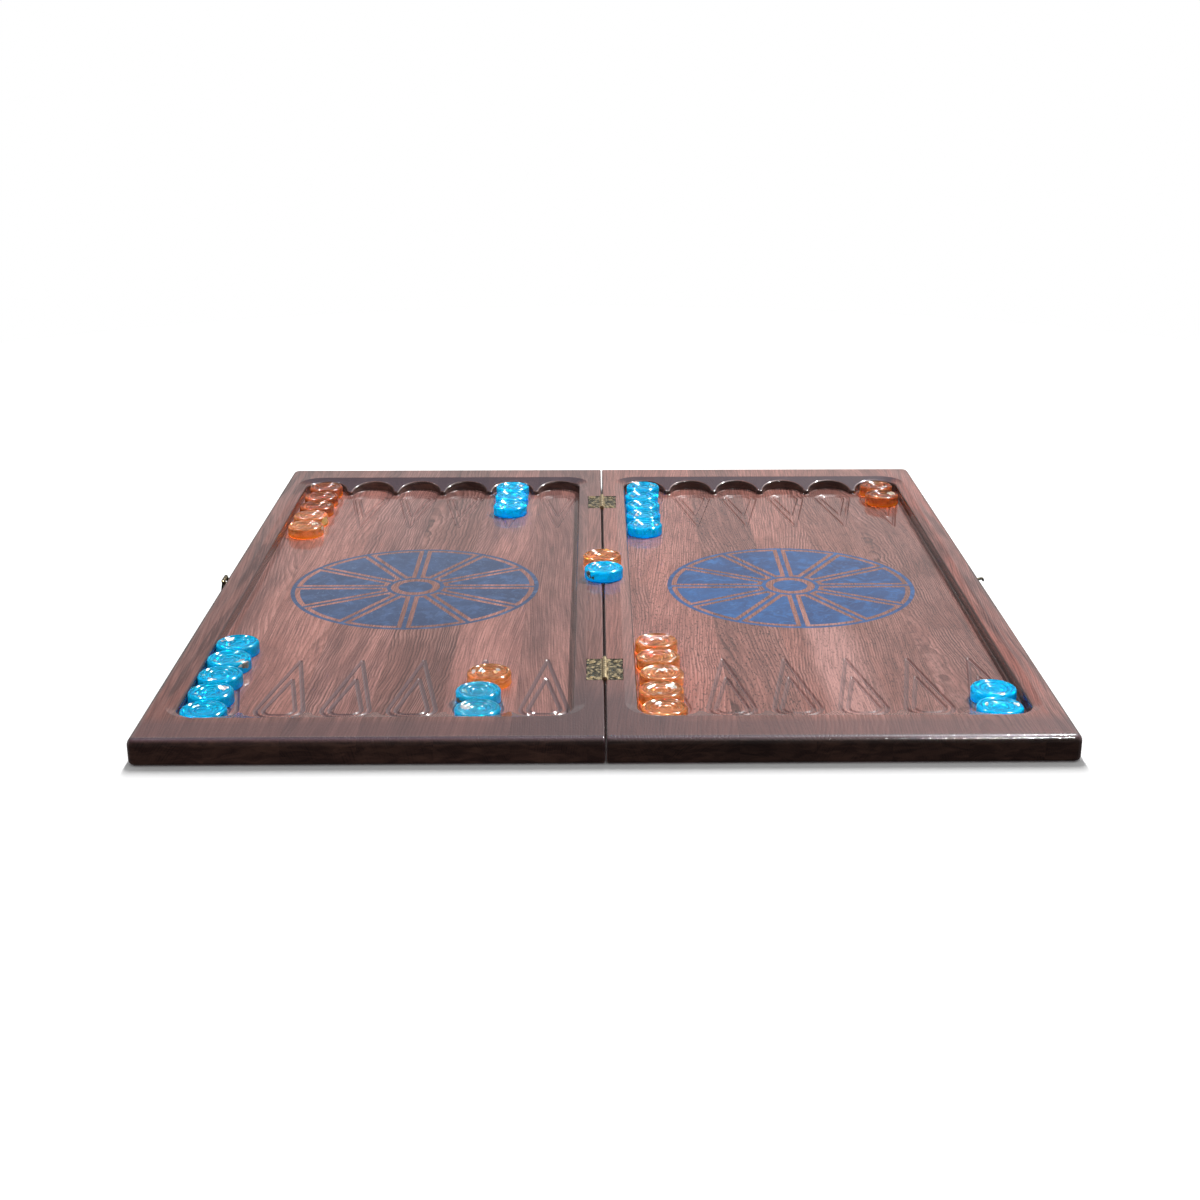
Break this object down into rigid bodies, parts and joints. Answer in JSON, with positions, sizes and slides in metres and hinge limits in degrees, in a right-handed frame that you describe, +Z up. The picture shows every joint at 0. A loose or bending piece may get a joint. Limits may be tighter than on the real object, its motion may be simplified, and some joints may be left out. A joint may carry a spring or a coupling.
{
  "type": "folding backgammon board",
  "caption": "Folding wooden backgammon board opened flat, with carved points, round resin inlays, brass hinges and clasp, and loose resin checkers in play.",
  "frame": {"origin": "on the underside, in the middle of the seam between the two halves, centre of the open board", "axes": "+X to the right half (catch side), +Y away from the viewer along the seam, +Z up"},
  "size_m": [0.6122, 0.65, 0.0275],
  "materials": {
    "walnut": "clear gloss lacquer",
    "inlay_resin": "pearlescent resin, flush and polished",
    "aged_brass": "antiqued, darkened in the low spots",
    "checker_blue": "translucent cast resin, polished",
    "checker_teal": "translucent cast resin, polished",
    "checker_amber": "translucent cast resin, polished"
  },
  "bodies": {
    "board_right": {"hinge_far_leaf_right": "aged_brass", "hinge_near_leaf_right": "aged_brass", "hinge_screws_right": "aged_brass", "medallion_hub_right": "inlay_resin", "medallion_panels_right": "inlay_resin", "medallion_web_right": "inlay_resin", "tray_right": "walnut", "hinge_far_pin": "aged_brass", "hinge_near_pin": "aged_brass", "catch_plate": "aged_brass", "catch_screws": "aged_brass"},
    "board_left": {"hinge_far_leaf_left": "aged_brass", "hinge_near_leaf_left": "aged_brass", "hinge_screws_left": "aged_brass", "medallion_hub_left": "inlay_resin", "medallion_panels_left": "inlay_resin", "medallion_web_left": "inlay_resin", "tray_left": "walnut", "clasp_plate": "aged_brass", "clasp_pin": "aged_brass", "clasp_screws": "aged_brass"},
    "hasp": {"clasp_hasp": "aged_brass"},
    "checker_amber_01": {"checker_amber_01": "checker_amber"},
    "checker_amber_02": {"checker_amber_02": "checker_amber"},
    "checker_amber_03": {"checker_amber_03": "checker_amber"},
    "checker_amber_04": {"checker_amber_04": "checker_amber"},
    "checker_amber_05": {"checker_amber_05": "checker_amber"},
    "checker_amber_06": {"checker_amber_06": "checker_amber"},
    "checker_amber_07": {"checker_amber_07": "checker_amber"},
    "checker_amber_08": {"checker_amber_08": "checker_amber"},
    "checker_amber_09": {"checker_amber_09": "checker_amber"},
    "checker_amber_10": {"checker_amber_10": "checker_amber"},
    "checker_amber_11": {"checker_amber_11": "checker_amber"},
    "checker_amber_12": {"checker_amber_12": "checker_amber"},
    "checker_amber_13": {"checker_amber_13": "checker_amber"},
    "checker_amber_14": {"checker_amber_14": "checker_amber"},
    "checker_blue_01": {"checker_blue_01": "checker_blue"},
    "checker_blue_02": {"checker_blue_02": "checker_blue"},
    "checker_blue_03": {"checker_blue_03": "checker_blue"},
    "checker_blue_04": {"checker_blue_04": "checker_blue"},
    "checker_blue_05": {"checker_blue_05": "checker_blue"},
    "checker_blue_06": {"checker_blue_06": "checker_blue"},
    "checker_blue_07": {"checker_blue_07": "checker_blue"},
    "checker_blue_08": {"checker_blue_08": "checker_blue"},
    "checker_blue_09": {"checker_blue_09": "checker_blue"},
    "checker_blue_10": {"checker_blue_10": "checker_blue"},
    "checker_blue_11": {"checker_blue_11": "checker_blue"},
    "checker_blue_12": {"checker_blue_12": "checker_blue"},
    "checker_blue_13": {"checker_blue_13": "checker_blue"},
    "checker_blue_14": {"checker_blue_14": "checker_blue"},
    "checker_blue_15": {"checker_blue_15": "checker_blue"},
    "checker_blue_16": {"checker_blue_16": "checker_blue"},
    "checker_teal_01": {"checker_teal_01": "checker_teal"},
    "checker_teal_02": {"checker_teal_02": "checker_teal"}
  },
  "joints": [
    {"name": "board_fold", "type": "hinge", "parent": "board_right", "child": "board_left", "pos_m": [0, 0, 0.0184], "axis": [0, 1, 0], "range_deg": [0, 180]},
    {"name": "clasp_hasp", "type": "hinge", "parent": "board_left", "child": "hasp", "pos_m": [-0.3028, 0, 0.0148], "axis": [0, 1, 0], "range_deg": [0, 170]},
    {"name": "lift_amber_01", "type": "slide", "parent": "board_left", "child": "checker_amber_01", "axis": [0, 0, -1], "range_m": [-0.045, 0]},
    {"name": "lift_amber_02", "type": "slide", "parent": "board_left", "child": "checker_amber_02", "axis": [0, 0, -1], "range_m": [-0.045, 0]},
    {"name": "lift_amber_03", "type": "slide", "parent": "board_left", "child": "checker_amber_03", "axis": [0, 0, -1], "range_m": [-0.045, 0]},
    {"name": "lift_amber_04", "type": "slide", "parent": "board_left", "child": "checker_amber_04", "axis": [0, 0, -1], "range_m": [-0.045, 0]},
    {"name": "lift_amber_05", "type": "slide", "parent": "board_left", "child": "checker_amber_05", "axis": [0, 0, -1], "range_m": [-0.045, 0]},
    {"name": "lift_amber_06", "type": "slide", "parent": "board_left", "child": "checker_amber_06", "axis": [0, 0, -1], "range_m": [-0.045, 0]},
    {"name": "lift_amber_07", "type": "slide", "parent": "board_right", "child": "checker_amber_07", "axis": [0, 0, -1], "range_m": [-0.045, 0]},
    {"name": "lift_amber_08", "type": "slide", "parent": "board_right", "child": "checker_amber_08", "axis": [0, 0, -1], "range_m": [-0.045, 0]},
    {"name": "lift_amber_09", "type": "slide", "parent": "board_right", "child": "checker_amber_09", "axis": [0, 0, -1], "range_m": [-0.045, 0]},
    {"name": "lift_amber_10", "type": "slide", "parent": "board_right", "child": "checker_amber_10", "axis": [0, 0, -1], "range_m": [-0.045, 0]},
    {"name": "lift_amber_11", "type": "slide", "parent": "board_right", "child": "checker_amber_11", "axis": [0, 0, -1], "range_m": [-0.045, 0]},
    {"name": "lift_amber_12", "type": "slide", "parent": "board_right", "child": "checker_amber_12", "axis": [0, 0, -1], "range_m": [-0.045, 0]},
    {"name": "lift_amber_13", "type": "slide", "parent": "board_right", "child": "checker_amber_13", "axis": [0, 0, -1], "range_m": [-0.045, 0]},
    {"name": "tip_in_amber_14", "type": "hinge", "parent": "board_right", "child": "checker_amber_14", "pos_m": [0.0195, 0.0225, 0.018], "axis": [0, 1, 0], "range_deg": [0, 180]},
    {"name": "lift_blue_01", "type": "slide", "parent": "board_left", "child": "checker_blue_01", "axis": [0, 0, -1], "range_m": [-0.045, 0]},
    {"name": "lift_blue_02", "type": "slide", "parent": "board_left", "child": "checker_blue_02", "axis": [0, 0, -1], "range_m": [-0.045, 0]},
    {"name": "lift_blue_03", "type": "slide", "parent": "board_left", "child": "checker_blue_03", "axis": [0, 0, -1], "range_m": [-0.045, 0]},
    {"name": "lift_blue_04", "type": "slide", "parent": "board_left", "child": "checker_blue_04", "axis": [0, 0, -1], "range_m": [-0.045, 0]},
    {"name": "lift_blue_05", "type": "slide", "parent": "board_left", "child": "checker_blue_05", "axis": [0, 0, -1], "range_m": [-0.045, 0]},
    {"name": "lift_blue_06", "type": "slide", "parent": "board_left", "child": "checker_blue_06", "axis": [0, 0, -1], "range_m": [-0.045, 0]},
    {"name": "lift_blue_07", "type": "slide", "parent": "board_left", "child": "checker_blue_07", "axis": [0, 0, -1], "range_m": [-0.045, 0]},
    {"name": "lift_blue_08", "type": "slide", "parent": "board_left", "child": "checker_blue_08", "axis": [0, 0, -1], "range_m": [-0.045, 0]},
    {"name": "lift_blue_09", "type": "slide", "parent": "board_right", "child": "checker_blue_09", "axis": [0, 0, -1], "range_m": [-0.045, 0]},
    {"name": "lift_blue_10", "type": "slide", "parent": "board_right", "child": "checker_blue_10", "axis": [0, 0, -1], "range_m": [-0.045, 0]},
    {"name": "lift_blue_11", "type": "slide", "parent": "board_right", "child": "checker_blue_11", "axis": [0, 0, -1], "range_m": [-0.045, 0]},
    {"name": "lift_blue_12", "type": "slide", "parent": "board_right", "child": "checker_blue_12", "axis": [0, 0, -1], "range_m": [-0.045, 0]},
    {"name": "lift_blue_13", "type": "slide", "parent": "board_right", "child": "checker_blue_13", "axis": [0, 0, -1], "range_m": [-0.045, 0]},
    {"name": "lift_blue_14", "type": "slide", "parent": "board_right", "child": "checker_blue_14", "axis": [0, 0, -1], "range_m": [-0.045, 0]},
    {"name": "lift_blue_15", "type": "slide", "parent": "board_right", "child": "checker_blue_15", "axis": [0, 0, -1], "range_m": [-0.045, 0]},
    {"name": "tip_in_blue_16", "type": "hinge", "parent": "board_right", "child": "checker_blue_16", "pos_m": [0.0195, -0.0095, 0.018], "axis": [0, 1, 0], "range_deg": [0, 180]},
    {"name": "lift_teal_01", "type": "slide", "parent": "board_left", "child": "checker_teal_01", "axis": [0, 0, -1], "range_m": [-0.045, 0]},
    {"name": "lift_teal_02", "type": "slide", "parent": "board_left", "child": "checker_teal_02", "axis": [0, 0, -1], "range_m": [-0.045, 0]}
  ],
  "couplings": [
    {"joint": "tip_in_amber_14", "follows": "board_fold", "ratio": 1},
    {"joint": "tip_in_blue_16", "follows": "board_fold", "ratio": 1}
  ]
}
